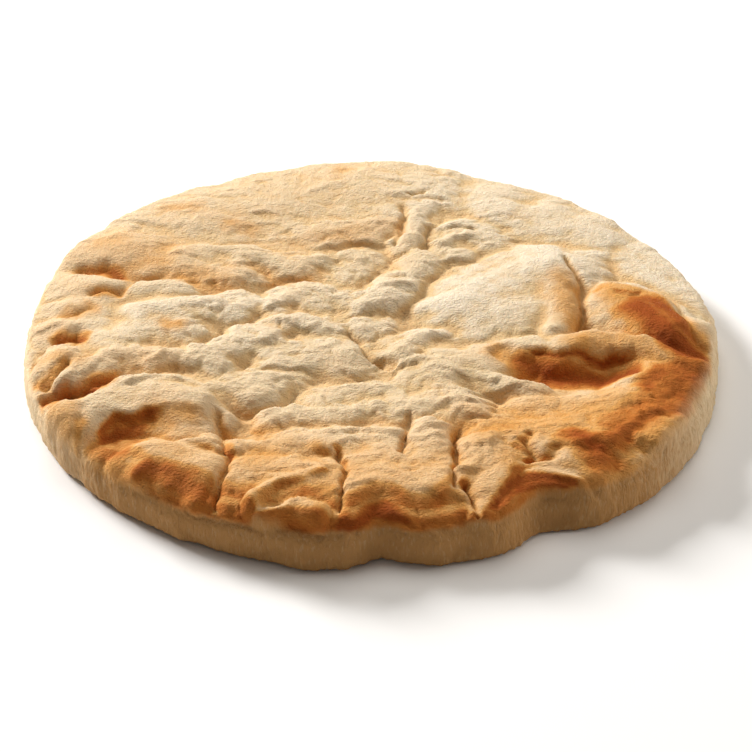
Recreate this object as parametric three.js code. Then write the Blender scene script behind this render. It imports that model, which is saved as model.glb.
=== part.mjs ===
// Pizza base: one thick round of baked dough. The top is puffed and folded, the side wall is pale and
// slightly bellied, and the underside is flat.
// Millimetres, +Z up. The origin is the middle of the underside, and -Y is the front.

import * as THREE from "three";

// Driving dimensions
const DIAMETER = 300; // across the belly of the wall
const RIM_HEIGHT = 17; // underside to the top of the crust inside the rim, between the puffs
const DISH = 3; // how much lower the crust lies at the centre
const DISH_FLOOR = 0.2; // share of the radius over which the dish is level
const DISH_BRIM = 0.9; // share of the radius at which the dish has risen to the rim
const BELLY_HEIGHT = 8; // where the wall is widest
const SHOULDER_WIDTH = 9; // how far in the top starts to turn down into the wall
const FOOT_WIDTH = 6; // how far the wall tucks in down to the underside
const SQUARENESS = 0.62; // 1 is an elliptical edge; less is squarer
const PUFF_OVERHANG = 0.35; // share of a puff's rise by which it swells the wall beside it
const PUFF_REACH = -0.6; // cosine of the turn over the edge at which the puffs have died away

// Mesh fineness
const TOP_RINGS = 36; // rings of the top, each with six more points than the last
const EDGE_STEPS = 4; // bands from the top to the belly, and again from there to the underside
const SOLE_RADIUS = 100; // of the triangle in the middle of the underside
const NARROWEST_RINGS = 1.2; // half-width, in ring spacings, of the narrowest form that the mesh can show
const EVENING_PLACES = 8; // places round each point over which its height is evened out
const EVENING_RINGS = 0.65; // how far out they lie, in ring spacings

const RADIUS = DIAMETER / 2;
const TOP_RADIUS = RADIUS - SHOULDER_WIDTH;
const AROUND = 6 * TOP_RINGS;
const RING_SPACING = TOP_RADIUS / TOP_RINGS;
const NARROWEST = NARROWEST_RINGS * RING_SPACING;
const EVENING_RADIUS = EVENING_RINGS * RING_SPACING;

// The outline isn't quite round. Each swell moves it out, or in where its size is below 0:
// [bearing in degrees from +X, half-width in degrees, size].
const SWELLS = [
  [92, 9, 4],
  [66, 9, -4],
  [30, 18, -3],
  [186, 14, -2],
  [262, 8, 2],
  [272, 4.5, -5.5],
  [297, 5, -6],
  [318, 20, 3],
];

// Where the top of the wall leans in over its foot: [bearing, half-width, how far].
const LEANS = [
  [262, 9, 3],
  [283, 5, 3],
  [298, 8, 7],
  [335, 18, 4.5],
];

// Puffs are where the dough blew up, each a mound over a bent line:
// [half-width, rise, then x and y of each point of the line].
const PUFFS = [
  // front
  [16, 8, -82, -106, -74, -108, -64, -116],
  [22, 7, -44, -117, -22, -123, 8, -125, 24, -121],
  [13, 7, 22, -87, 24, -104],
  [16, 6.8, 46, -104, 52, -123],
  [18, 6.5, 66, -98, 78, -106],
  [14, 4, 50, -122, 62, -118, 74, -117],
  [7, 3.8, 40, -139, 47, -136],
  [7, 5, 53, -133, 63, -131, 72, -126, 78, -124],
  [6, 4, 78, -124, 83, -128],
  [9, 6, -68, -96, -61, -96],
  [9, 5.5, -53, -99, -43, -98],
  [5, 8.5, -43, -135, -37, -127, -29, -124, -19, -119],
  [5, 7.5, -40, -140, -35, -138.5, -28, -138.5, -19, -139.5],
  [10, 5.5, -38, -80, -22, -75, 2, -72],
  // left
  [21, 10, -114, -79, -99, -70, -86, -69, -73, -75],
  [15, 8.5, -126, -40, -115, -44, -96, -37, -76, -36, -66, -42],
  [20, 8, -110, -26, -96, -15, -82, -13],
  [17, 5.5, -128, -14, -120, -12],
  [17, 5, -128, 4, -120, 2],
  [19, 6.5, -126, 24, -117, 18],
  [28, 7, -118, 52, -108, 54],
  [13, 7.5, -97, 18, -85, 18],
  [18, 8.5, -98, -3, -76, 1, -58, 8],
  [9, 6, -80, -54, -74, -54],
  // right
  [11.5, 8.2, 84, -28, 94, -24, 104, -24, 114, -27, 123, -34, 134, -42],
  [7.5, 7, 87, -28, 98, -31, 108, -30],
  [7, 7, 92, -95, 99, -88, 110, -77],
  [6, 6.3, 104, -95, 112, -87, 121, -78],
  [18, 7, 30, -42, 42, -35, 54, -29],
  [11, 7, 54, -29, 68, -25, 80, -29],
  [11, 9, 80, 34, 82, 14, 81, -4, 78, -16],
  [22, 6.5, 120, -50, 112, -64, 98, -80],
  [9, 5, 38, -48, 54, -52, 66, -56],
  [32, 9.5, 44, 8, 60, 26, 78, 36],
  [26, 8.5, 54, -4, 70, 6],
  [15, 5.5, 96, 51, 97, 31],
  // middle
  [15, 7.5, -50, -15, -42, -9, -33, -6, -22, -7],
  [20, 7.5, -36, -33, -22, -30, -12, -34],
  [16, 7.5, -64, -60, -55, -54, -46, -57],
  [11, 5.5, -37, -50, -30, -50],
  [14, 8, -70, -36, -57, -27, -44, -21],
  [16, 8, -42, 6, -36, 13, -26, 18],
  [18, 7, -21, 12, -8, 12, 2, 12],
  [14, 5.5, 2, -58, 12, -57],
  [14, 5.5, -20, -60, -8, -60],
  [20, 8, 16, -29, 26, -22],
  [16, 5.5, 18, -48, 34, -44],
  [19, 6.5, 16, -68, 34, -68],
  [16, 5.5, -14, -8, 4, -6],
  // back
  [12, 6.5, -88, 50, -68, 53, -54, 52, -44, 47, -36, 42, -28, 48],
  [18, 6.2, -28, 70, -6, 78, 10, 88],
  [16, 4.5, -12, 37, -2, 51],
  [13, 6.5, 18, 62, 20, 80, 22, 96],
  [16, 8, 4, 13, 16, 33, 24, 45],
  [15, 6, 32, 59, 38, 53],
  [20, 6, 42, 73, 54, 65],
];

// Rises are softer than puffs and have no edge: rows as for the puffs.
const RISES = [
  [22, 6, -30, -98, -12, -95, 4, -97],
  [18, 6.4, -6, -109, 16, -107],
  [27, 10, 109, 9, 116, 0, 126, -17],
  [26, 3.8, 68, -72, 90, -72, 106, -68],
  [30, 6, 58, -92, 76, -88, 96, -80],
  [26, 7, 80, -96, 94, -86],
  [24, 2, 120, 50, 130, 20],
  [13, 2, -106, -96, -92, -97],
  [50, 3, -20, -20, 20, -30],
  [60, 6, -85, 80, -40, 100, 10, 105],
  [40, 5, 10, 120, 30, 115],
  [30, 5, 56, 112, 62, 90],
  [32, 5, 74, 84, 98, 74],
  [28, 5, -80, 44, -62, 40],
  [28, 5, -44, 76, -40, 56, -28, 46],
];

// Steep hollows under the puffs, softer dips, and creases pressed into the crust:
// [half-width, depth, then the line's points].
const HOLLOWS = [
  [7, 2.5, 57, -31, 62, -38, 70, -43],
  [8, 3.2, 75, -44, 88, -45, 97, -47, 107, -45],
  [9, 3, -124, -62, -116, -66],
  [4, 2.5, 3, -34, 7, -36],
];
const DIPS = [
  [15, 2.2, 62, -42, 74, -48, 96, -50],
  [9, 2, -80, -86, -68, -87],
  [10, 3, 42, -56, 52, -60],
  [9, 3, 23, -28, 35, -23],
  [8, 2.5, -62, -82, -58, -90],
];
const CREASES = [
  [3, 4, -55, -106, -54, -134],
  [3, 4, -12, -100, -11, -139],
  [3, 4, 34, -88, 33, -106, 33, -127],
  [3, 4.5, 38, -126, 39, -133, 39, -140],
  [4, 3, 63, -95, 65, -106, 65, -116],
  [4, 2.5, 65, -116, 71, -110, 74, -103],
  [3, 3, 13, -78, 13, -104],
  [4, 3.5, 86, 42, 91, 28, 93, 12, 92, -2, 89, -14],
  [3.2, 1.8, 106, 10, 111, 7, 116, 9],
  [8, 3, 94, -12, 100, -16, 108, -19, 118, -23, 128, -31, 137, -38],
  [4, 3.5, -12, -12, -4, -26, 2, -34],
  [4, 3, -60, -78, -57, -103],
  [4, 3, 12, 62, 14, 82, 16, 95],
  [4, 3.5, 26, 78, 25, 67, 26, 56],
  [3, 2, 37, 74, 50, 72],
  [3, 2, 19, 106, 25, 108],
  [5, 2.5, 121, 22, 130, 5, 135, -12, 140, -28],
  [3, 1.5, 9, -47, 10, -40, 18, -39],
  [6, 3.5, -130, 37, -119, 37, -111, 31],
  [6, 3.5, -123, 14, -117, 17, -110, 16],
  [5, 1.5, -132, -5, -122, 3],
  [6, 3.5, -132, -24, -125, -19, -121, -24],
  [5, 3, -132, -53, -124, -44],
  [4, 0.9, -110, -80, -110, -95],
  [4, 1.0, -104, -84, -106, -99],
  [4, 0.9, -96, -96, -99, -107],
];

// Crisp edges under which the crust drops away on the right of a line:
// [width of the steep face, reach, drop, then the line's points].
const CLIFFS = [
  [5, 18, 6, -110, -95, -106, -86, -101, -79, -94, -79, -88, -77, -82, -77, -77, -76],
  [5, 14, 2.5, -92, -79, -82, -77, -75, -76, -66, -78, -58, -83],
  [2.5, 13, 3, -94, -54, -105, -62, -116, -70, -125, -80],
  [2, 10, 2.5, 60, -27, 70, -30, 79, -32, 88, -31.5, 93, -32.5, 98, -34, 103, -32.5, 109, -33, 117, -33],
  [2.5, 11, 3, 39, -137, 46, -133, 53, -129.5, 62, -127, 71, -122, 77, -120, 84, -125],
  [1.5, 8, 2, -88, 30, -97, 31, -101, 28, -104, 20, -107, 16, -109, 8],
];
const CLIFF_END = 0.2; // share of a cliff's length over which it fades at each end

// How the mounds are blended, and the slow waves that keep their lines from being straight
const MOUND_FULLNESS = 0.9; // less is flatter on top and steeper at the edge
const BLEND_POWER = 8; // more leaves sharper creases between mounds
const BEND = { reach: 0.9, wavelength: 46, count: 5, shrink: 0.72 };
const RIPPLE = { reach: 0.35, wavelength: 60, count: 6, shrink: 0.8 };
const GOLDEN_ANGLE = Math.PI * (3 - Math.sqrt(5));

const radians = THREE.MathUtils.degToRad;
const { clamp, lerp, smoothstep, euclideanModulo } = THREE.MathUtils;

// An uneven height made of sine waves, each shorter and lower than the last and turned by the golden angle.
function waves({ reach, wavelength, count, shrink }, x, y, phase) {
  let sum = 0;
  for (let i = 0; i < count; i++) {
    const share = shrink ** i;
    const angle = i * GOLDEN_ANGLE + phase;
    const along = x * Math.cos(angle) + y * Math.sin(angle);
    sum += share * Math.sin((2 * Math.PI * along) / (wavelength * share) + phase + 2 * i);
  }
  return reach * sum;
}

// Where (x, y) lies by a bent line: its distance, how far to the right of it, and how far from its nearer end
// along it, as a share of its length.
function placeByLine(x, y, line) {
  let place = { distance: Infinity };
  let passed = 0;
  let length = 0;
  for (let i = 0; i + 3 < line.length; i += 2) {
    const [x0, y0, x1, y1] = line.slice(i, i + 4);
    const runX = x1 - x0;
    const runY = y1 - y0;
    const run = Math.hypot(runX, runY);
    const along = clamp(((x - x0) * runX + (y - y0) * runY) / run ** 2, 0, 1);
    const distance = Math.hypot(x - lerp(x0, x1, along), y - lerp(y0, y1, along));
    if (distance < place.distance) {
      const side = Math.sign((x - x0) * runY - (y - y0) * runX);
      place = { distance, right: side * distance };
      passed = length + along * run;
    }
    length += run;
  }
  place.fromEnd = Math.min(passed, length - passed) / length;
  return place;
}

// Height of one form over its line, 0 from its half-width out: shape gives it at a share of the half-width.
function formHeight(x, y, [halfWidth, height, ...line], shape) {
  const share = placeByLine(x, y, line).distance / Math.max(halfWidth, NARROWEST);
  return share < 1 ? height * shape(share) : 0;
}

const mound = (share) => (1 - share ** 2) ** MOUND_FULLNESS;
const pit = (share) => (1 - share ** 4) ** 2;
const bowl = (share) => (1 - share ** 2) ** 2;
const groove = (share) => (1 - share) ** 2;

// How far a cliff drops at (x, y): most just right of its line, then less and less, and nothing at its ends.
function cliffDrop(x, y, [face, reach, drop, ...line]) {
  const { right, fromEnd } = placeByLine(x, y, line);
  const steep = smoothstep(right, 0, Math.max(face, RING_SPACING));
  const fading = Math.max(0, 1 - right / reach) ** 2;
  return drop * steep * fading * smoothstep(fromEnd, 0, CLIFF_END);
}

// Height of the crust over its base form, at a place measured along the crust from the centre.
function spotHeight(x, y) {
  const bentX = x + waves(BEND, x, y, 1);
  const bentY = y + waves(BEND, x, y, 4);
  const heights = (forms, shape) => forms.map((form) => formHeight(bentX, bentY, form, shape));
  const raised = [...heights(PUFFS, mound), ...heights(RISES, bowl)];
  const blended = raised.reduce((sum, height) => sum + height ** BLEND_POWER, 0) ** (1 / BLEND_POWER);
  const sunk = Math.max(...heights(HOLLOWS, pit), ...heights(DIPS, bowl));
  const creased = heights(CREASES, groove).reduce((sum, depth) => sum + depth, 0);
  const dropped = CLIFFS.reduce((sum, cliff) => sum + cliffDrop(x, y, cliff), 0);
  return blended - sunk - creased - dropped + waves(RIPPLE, x, y, 2);
}

// The same, evened out over a ring of places, so that narrow slits come out smooth.
function relief(x, y) {
  let sum = 0;
  for (let i = 0; i < EVENING_PLACES; i++) {
    const angle = (2 * Math.PI * i) / EVENING_PLACES;
    sum += spotHeight(x + EVENING_RADIUS * Math.cos(angle), y + EVENING_RADIUS * Math.sin(angle));
  }
  return sum / EVENING_PLACES;
}

// How far the rows of a table push the outline out at a bearing.
function swell(bearing, rows) {
  let total = 0;
  for (const [centre, halfWidth, size] of rows) {
    const away = euclideanModulo(bearing - radians(centre) + Math.PI, 2 * Math.PI) - Math.PI;
    total += size * Math.exp(-((away / radians(halfWidth)) ** 2));
  }
  return total;
}

// A power that keeps the sign, for the squared-off edge.
const bulge = (value) => Math.sign(value) * Math.abs(value) ** SQUARENESS;

// A point of the top: out is its distance from the centre on a true circle.
function topPoint(out, bearing) {
  const share = out / TOP_RADIUS;
  const rim = RADIUS + swell(bearing, SWELLS) - swell(bearing, LEANS) - SHOULDER_WIDTH;
  const radius = out * lerp(1, rim / TOP_RADIUS, share * share);
  const base = RIM_HEIGHT - DISH * (1 - smoothstep(share, DISH_FLOOR, DISH_BRIM));
  const height = base + relief(out * Math.cos(bearing), out * Math.sin(bearing));
  return [radius * Math.cos(bearing), radius * Math.sin(bearing), height];
}

// A point of the edge: turn runs from 0 at the top, through a quarter turn at the belly, to a half turn
// at the underside. The relief fades out down the wall.
function edgePoint(turn, bearing) {
  const sine = Math.sin(turn);
  const cosine = Math.cos(turn);
  const upper = turn <= Math.PI / 2;
  const width = upper ? SHOULDER_WIDTH : FOOT_WIDTH;
  const rise = upper ? RIM_HEIGHT - BELLY_HEIGHT : BELLY_HEIGHT;
  const along = TOP_RADIUS + SHOULDER_WIDTH * turn;
  const kept = smoothstep(cosine, PUFF_REACH, 1);
  const lift = kept * relief(along * Math.cos(bearing), along * Math.sin(bearing));
  const edge = RADIUS + swell(bearing, SWELLS) - (swell(bearing, LEANS) * (1 + cosine)) / 2;
  const radius = edge - width * (1 - bulge(sine)) + lift * PUFF_OVERHANG * sine;
  const height = BELLY_HEIGHT + rise * bulge(cosine) + lift * Math.max(0, cosine);
  return [radius * Math.cos(bearing), radius * Math.sin(bearing), Math.max(0, height)];
}

// The rings of points from the middle of the top, over the edge and in to the triangle under the middle.
function crustRings() {
  const rings = [[topPoint(0, 0)]];
  const ring = (count, place) => {
    rings.push(Array.from({ length: count }, (_, i) => place((2 * Math.PI * i) / count)));
  };
  for (let k = 1; k <= TOP_RINGS; k++) {
    ring(6 * k, (bearing) => topPoint((TOP_RADIUS * k) / TOP_RINGS, bearing));
  }
  for (let k = 1; k <= 2 * EDGE_STEPS; k++) {
    ring(AROUND, (bearing) => edgePoint((Math.PI / 2) * (k / EDGE_STEPS), bearing));
  }
  ring(3, (bearing) => [SOLE_RADIUS * Math.cos(bearing), SOLE_RADIUS * Math.sin(bearing), 0]);
  return rings;
}

// Triangles between two rings of evenly spaced points, each given by its first index and its count.
function stitch(indices, [innerStart, innerCount], [outerStart, outerCount]) {
  let i = 0;
  let j = 0;
  while (i < innerCount || j < outerCount) {
    const inner = innerStart + (i % innerCount);
    const outer = outerStart + (j % outerCount);
    const stepOuter = j < outerCount && (i >= innerCount || (j + 1) * innerCount <= (i + 1) * outerCount);
    if (stepOuter) {
      j += 1;
      indices.push(inner, outer, outerStart + (j % outerCount));
    } else {
      i += 1;
      if (innerCount > 1) indices.push(inner, outer, innerStart + (i % innerCount));
    }
  }
}

// The crust's closed surface, from the rings.
function crustGeometry() {
  const rings = crustRings();
  const indices = [];
  let start = 0;
  for (let k = 0; k + 1 < rings.length; k++) {
    const next = start + rings[k].length;
    stitch(indices, [start, rings[k].length], [next, rings[k + 1].length]);
    start = next;
  }
  indices.push(start + 2, start + 1, start);
  const geometry = new THREE.BufferGeometry();
  geometry.setAttribute("position", new THREE.Float32BufferAttribute(rings.flat(2), 3));
  geometry.setIndex(indices);
  geometry.computeVertexNormals();
  return geometry;
}

const bakedDough = new THREE.MeshStandardMaterial({ color: 0xdcbc8c, roughness: 0.85, metalness: 0 });

const pizzaBase = new THREE.Mesh(crustGeometry(), bakedDough);
pizzaBase.name = "pizza_base";

const part = new THREE.Group();
part.add(pizzaBase);

export default part;
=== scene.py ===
"""A thick round pizza base: puffed and folded crust, pale side wall and flat, toasted sole.

Lengths in the form tables are millimetres in the frame's own axes: +Z up, -Y the front.
"""
import math

import bpy
import numpy as np
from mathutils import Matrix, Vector


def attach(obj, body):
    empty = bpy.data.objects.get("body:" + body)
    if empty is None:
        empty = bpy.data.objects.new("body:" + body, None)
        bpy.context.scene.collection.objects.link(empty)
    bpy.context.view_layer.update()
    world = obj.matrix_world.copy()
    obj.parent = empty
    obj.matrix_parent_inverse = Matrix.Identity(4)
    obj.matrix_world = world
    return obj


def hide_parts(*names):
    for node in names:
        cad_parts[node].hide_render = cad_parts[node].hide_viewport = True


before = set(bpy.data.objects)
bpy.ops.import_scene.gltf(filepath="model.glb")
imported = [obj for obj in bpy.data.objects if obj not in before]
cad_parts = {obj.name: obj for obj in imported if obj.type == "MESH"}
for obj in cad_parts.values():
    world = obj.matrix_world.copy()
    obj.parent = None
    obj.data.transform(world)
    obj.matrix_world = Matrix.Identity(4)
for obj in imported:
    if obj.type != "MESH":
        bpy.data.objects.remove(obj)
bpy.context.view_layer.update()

MM = 0.001

# Driving sizes of the base
DIAMETER = 300.0  # across the belly of the wall
RIM_HEIGHT = 17.0  # underside to the top of the crust inside the rim, between the puffs
DISH = 3.0  # how much lower the crust lies at the centre
DISH_FLOOR = 0.2  # share of the radius over which the dish is level
DISH_BRIM = 0.9  # share of the radius at which the dish has risen to the rim
BELLY_HEIGHT = 8.0  # where the wall is widest
SHOULDER_WIDTH = 9.0  # how far in the top starts to turn down into the wall
FOOT_WIDTH = 6.0  # how far the wall tucks in down to the underside
SQUARENESS = 0.62  # 1 is an elliptical edge; less is squarer
PUFF_OVERHANG = 0.35  # share of a puff's rise by which it swells the wall beside it
PUFF_REACH = -0.6  # cosine of the turn over the edge at which the puffs have died away
RADIUS = DIAMETER / 2
TOP_RADIUS = RADIUS - SHOULDER_WIDTH

# Mesh fineness
TOP_RINGS = 140  # rings of the top
RING_STEP = 6  # how many more points each of them has than the last
AROUND = RING_STEP * TOP_RINGS  # points of the outermost, and of each ring of the wall
EDGE_BANDS = 36  # bands from the top over the wall to the underside
SOLE_SHARES = (0.97, 0.9, 0.75, 0.5, 0.25)  # rings of the sole, as shares of the top's radius
SOLE_COARSENESS = 2  # how many times fewer points they have than the top's ring of that size

# The outline isn't quite round: (bearing in degrees from +X, half-width in degrees, how far it swells out)
SWELLS = [
    (92, 9, 4),
    (66, 9, -4),
    (30, 18, -3),
    (186, 14, -2),
    (262, 8, 2),
    (272, 4.5, -5.5),
    (297, 5, -6),
    (318, 20, 3),
]

# Where the top of the wall leans in over its foot: (bearing, half-width, how far)
LEANS = [
    (262, 9, 3),
    (283, 5, 3),
    (298, 8, 7),
    (335, 18, 4.5),
]

# Where the crust fades softly into the wall: (bearing, half-width, how softly)
SOFT_EDGES = [
    (215, 22, 1),
    (338, 22, 1),
    (90, 80, 1),
]

# Where the crust reaches further down the wall, or less far: (bearing, half-width, degrees over the edge)
CRUST_REACH = [
    (296, 10, 12),
    (326, 22, -16),
]
CRUST_EDGE = (32, 48)  # degrees over the edge where the wall starts to show, and where it is bare
SOFT_EDGE = (14, 30)  # how much earlier and later that is where the crust fades softly
CRUST_EDGE_STRAY = [(5, 9), (4, 3)]  # how far the crust's edge strays, in degrees, and over what length

# Puffs are where the dough blew up, each a mound over a bent line:
# (half-width, rise, then x and y of each point of the line)
PUFFS = [
    # front
    (16, 8, -82, -106, -74, -108, -64, -116),
    (22, 7, -44, -117, -22, -123, 8, -125, 24, -121),
    (13, 7, 22, -87, 24, -104),
    (16, 6.8, 46, -104, 52, -123),
    (18, 6.5, 66, -98, 78, -106),
    (14, 4, 50, -122, 62, -118, 74, -117),
    (7, 3.8, 40, -139, 47, -136),
    (7, 5, 53, -133, 63, -131, 72, -126, 78, -124),
    (6, 4, 78, -124, 83, -128),
    (9, 6, -68, -96, -61, -96),
    (9, 5.5, -53, -99, -43, -98),
    (5, 8.5, -43, -135, -37, -127, -29, -124, -19, -119),
    (5, 7.5, -40, -140, -35, -138.5, -28, -138.5, -19, -139.5),
    (10, 5.5, -38, -80, -22, -75, 2, -72),
    # left
    (21, 10, -114, -79, -99, -70, -86, -69, -73, -75),
    (15, 8.5, -126, -40, -115, -44, -96, -37, -76, -36, -66, -42),
    (20, 8, -110, -26, -96, -15, -82, -13),
    (17, 5.5, -128, -14, -120, -12),
    (17, 5, -128, 4, -120, 2),
    (19, 6.5, -126, 24, -117, 18),
    (28, 7, -118, 52, -108, 54),
    (13, 7.5, -97, 18, -85, 18),
    (18, 8.5, -98, -3, -76, 1, -58, 8),
    (9, 6, -80, -54, -74, -54),
    # right
    (11.5, 8.2, 84, -28, 94, -24, 104, -24, 114, -27, 123, -34, 134, -42),
    (7.5, 7, 87, -28, 98, -31, 108, -30),
    (7, 7, 92, -95, 99, -88, 110, -77),
    (6, 6.3, 104, -95, 112, -87, 121, -78),
    (18, 7, 30, -42, 42, -35, 54, -29),
    (11, 7, 54, -29, 68, -25, 80, -29),
    (11, 9, 80, 34, 82, 14, 81, -4, 78, -16),
    (22, 6.5, 120, -50, 112, -64, 98, -80),
    (9, 5, 38, -48, 54, -52, 66, -56),
    (32, 9.5, 44, 8, 60, 26, 78, 36),
    (26, 8.5, 54, -4, 70, 6),
    (15, 5.5, 96, 51, 97, 31),
    # middle
    (15, 7.5, -50, -15, -42, -9, -33, -6, -22, -7),
    (20, 7.5, -36, -33, -22, -30, -12, -34),
    (16, 7.5, -64, -60, -55, -54, -46, -57),
    (11, 5.5, -37, -50, -30, -50),
    (14, 8, -70, -36, -57, -27, -44, -21),
    (16, 8, -42, 6, -36, 13, -26, 18),
    (18, 7, -21, 12, -8, 12, 2, 12),
    (14, 5.5, 2, -58, 12, -57),
    (14, 5.5, -20, -60, -8, -60),
    (20, 8, 16, -29, 26, -22),
    (16, 5.5, 18, -48, 34, -44),
    (19, 6.5, 16, -68, 34, -68),
    (16, 5.5, -14, -8, 4, -6),
    # back
    (12, 6.5, -88, 50, -68, 53, -54, 52, -44, 47, -36, 42, -28, 48),
    (18, 6.2, -28, 70, -6, 78, 10, 88),
    (16, 4.5, -12, 37, -2, 51),
    (13, 6.5, 18, 62, 20, 80, 22, 96),
    (16, 8, 4, 13, 16, 33, 24, 45),
    (15, 6, 32, 59, 38, 53),
    (20, 6, 42, 73, 54, 65),
]

# Rises are softer than puffs and have no edge: rows as for the puffs
RISES = [
    (22, 6, -30, -98, -12, -95, 4, -97),
    (18, 6.4, -6, -109, 16, -107),
    (27, 10, 109, 9, 116, 0, 126, -17),
    (26, 3.8, 68, -72, 90, -72, 106, -68),
    (30, 6, 58, -92, 76, -88, 96, -80),
    (26, 7, 80, -96, 94, -86),
    (24, 2, 120, 50, 130, 20),
    (13, 2, -106, -96, -92, -97),
    (50, 3, -20, -20, 20, -30),
    (60, 6, -85, 80, -40, 100, 10, 105),
    (40, 5, 10, 120, 30, 115),
    (30, 5, 56, 112, 62, 90),
    (32, 5, 74, 84, 98, 74),
    (28, 5, -80, 44, -62, 40),
    (28, 5, -44, 76, -40, 56, -28, 46),
]

# Steep hollows under the puffs, softer dips, and creases pressed into the crust:
# (half-width, depth, then the line's points)
HOLLOWS = [
    (7, 2.5, 57, -31, 62, -38, 70, -43),
    (8, 3.2, 75, -44, 88, -45, 97, -47, 107, -45),
    (9, 3, -124, -62, -116, -66),
    (4, 2.5, 3, -34, 7, -36),
]
DIPS = [
    (15, 2.2, 62, -42, 74, -48, 96, -50),
    (9, 2, -80, -86, -68, -87),
    (10, 3, 42, -56, 52, -60),
    (9, 3, 23, -28, 35, -23),
    (8, 2.5, -62, -82, -58, -90),
]
CREASES = [
    (3, 4, -55, -106, -54, -134),
    (3, 4, -12, -100, -11, -139),
    (3, 4, 34, -88, 33, -106, 33, -127),
    (3, 4.5, 38, -126, 39, -133, 39, -140),
    (4, 3, 63, -95, 65, -106, 65, -116),
    (4, 2.5, 65, -116, 71, -110, 74, -103),
    (3, 3, 13, -78, 13, -104),
    (4, 3.5, 86, 42, 91, 28, 93, 12, 92, -2, 89, -14),
    (3.2, 1.8, 106, 10, 111, 7, 116, 9),
    (8, 3, 94, -12, 100, -16, 108, -19, 118, -23, 128, -31, 137, -38),
    (4, 3.5, -12, -12, -4, -26, 2, -34),
    (4, 3, -60, -78, -57, -103),
    (4, 3, 12, 62, 14, 82, 16, 95),
    (4, 3.5, 26, 78, 25, 67, 26, 56),
    (3, 2, 37, 74, 50, 72),
    (3, 2, 19, 106, 25, 108),
    (5, 2.5, 121, 22, 130, 5, 135, -12, 140, -28),
    (3, 1.5, 9, -47, 10, -40, 18, -39),
    (6, 3.5, -130, 37, -119, 37, -111, 31),
    (6, 3.5, -123, 14, -117, 17, -110, 16),
    (5, 1.5, -132, -5, -122, 3),
    (6, 3.5, -132, -24, -125, -19, -121, -24),
    (5, 3, -132, -53, -124, -44),
    (4, 0.9, -110, -80, -110, -95),
    (4, 1.0, -104, -84, -106, -99),
    (4, 0.9, -96, -96, -99, -107),
]

# Crisp edges under which the crust drops away on the right of a line:
# (width of the steep face, reach, drop, browning and painted shade under the edge, then the line's points)
CLIFFS = [
    (5, 18, 6, 1.00, -110, -95, -106, -86, -101, -79, -94, -79, -88, -77, -82, -77, -77, -76),
    (5, 14, 2.5, 0.45, -92, -79, -82, -77, -75, -76, -66, -78, -58, -83),
    (2.5, 13, 3, 1.00, -94, -54, -105, -62, -116, -70, -125, -80),
    (2, 10, 2.5, 1.40, 60, -27, 70, -30, 79, -32, 88, -31.5, 93, -32.5, 98, -34, 103, -32.5, 109, -33,
     117, -33),
    (2.5, 11, 3, 2.60, 39, -137, 46, -133, 53, -129.5, 62, -127, 71, -122, 77, -120, 84, -125),
    (1.5, 8, 2, 0.50, -88, 30, -97, 31, -101, 28, -104, 20, -107, 16, -109, 8),
]
CRISP = 2.0  # width over which the browning and painted shade under a cliff set in
CLIFF_BROWNEST = 0.9  # the most browning and painted shade that a cliff gives
CLIFF_END = 0.2  # share of a cliff's length over which it fades at each end

MOUND_FULLNESS = 0.9  # less is flatter on top and steeper at the edge
BLEND_POWER = 8  # more leaves sharper creases between mounds
BEND = dict(reach=0.9, wavelength=46, count=5, shrink=0.72)  # keeps the lines from being straight
BEND_PHASES = (1, 4)  # along x and along y
RIPPLE = dict(phase=2, reach=0.35, wavelength=60, count=6, shrink=0.8)  # low waves all over the crust
GOLDEN_ANGLE = math.pi * (3 - math.sqrt(5))

# The noise: large odd numbers and shifts that scramble its cells, and the gain that brings it to -1 to 1
COLUMN_MIXER = 374761393
ROW_MIXER = 668265263
SEED_MIXER = 974634777
LAST_MIXER = 1274126177
FIRST_SHIFT = 13
LAST_SHIFT = 16
WORD = 0xFFFFFFFF
HALF_WORD = 0xFFFF
NOISE_GAIN = 1.5

# Where the crust is smooth rather than crumpled: (half-width, how smooth, then the line's points)
SMOOTH = [
    (80, 0.55, -80, 80, -20, 120),
    (18, 0.9, 60, -40, 76, -44, 106, -46),
    (50, 0.8, -120, 40, -110, 0),
    (30, 0.9, 114, 10, 122, -12),
    (26, 0.8, 88, -28, 128, -40),
    (30, 0.7, -112, -84, -76, -80),
    (46, 0.8, 46, 12, 78, 38),
    (24, 0.9, 76, 30, 78, -12),
    (44, 0.75, 136, -10, 124, 40, 100, 80, 60, 115),
    (24, 0.2, -40, -120, 20, -126),
    (14, 0.95, 44, -139, 60, -133, 82, -127),
    (16, 0.8, 50, -122, 74, -116),
    (18, 0.7, 36, -36, 60, -30),
    (22, 0.8, -90, -104, -66, -114),
]

# Fine relief: heights and lengths in millimetres
RAGGED = [(2.0, 12.0)]  # how far the forms' edges stray, and over what length
WARP = [(3.0, 12.0)]  # the same for the wrinkles, swells and seams
FOLD_HEIGHT = 1.9  # of the low folds that lie across the base, steep on the front side
FOLD_SPACING = 15.0
SMALL_FOLD_HEIGHT = 0.45  # of smaller folds over them, as a share of theirs
SMALL_FOLD_SPACING = FOLD_SPACING / 2.3
FOLD_STRAY = [(0.5, 1.7), (0.2, 0.6)]  # how far a fold's edge strays, and over what length, in spacings
FOLD_FRONT = 0.16  # share of a fold that its steep front takes up
FOLD_PATCH = 1.6  # size of the patches of crust that have folds, in spacings
FOLD_PATCH_LEVELS = (-0.15, 0.45)  # of the noise between which they come in
UNDULATION = 0.6  # height of the low uneven swells between the forms, and their length
UNDULATION_SIZE = 18.0
SEAMS = [(17.0, 0.5), (8.5, 0.3)]  # how far apart thin creases run between the swells, and how deep
SEAM_LEVEL = 0.16  # of the noise at which a seam's side starts
WRINKLE_SIZE = 2.2
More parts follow.
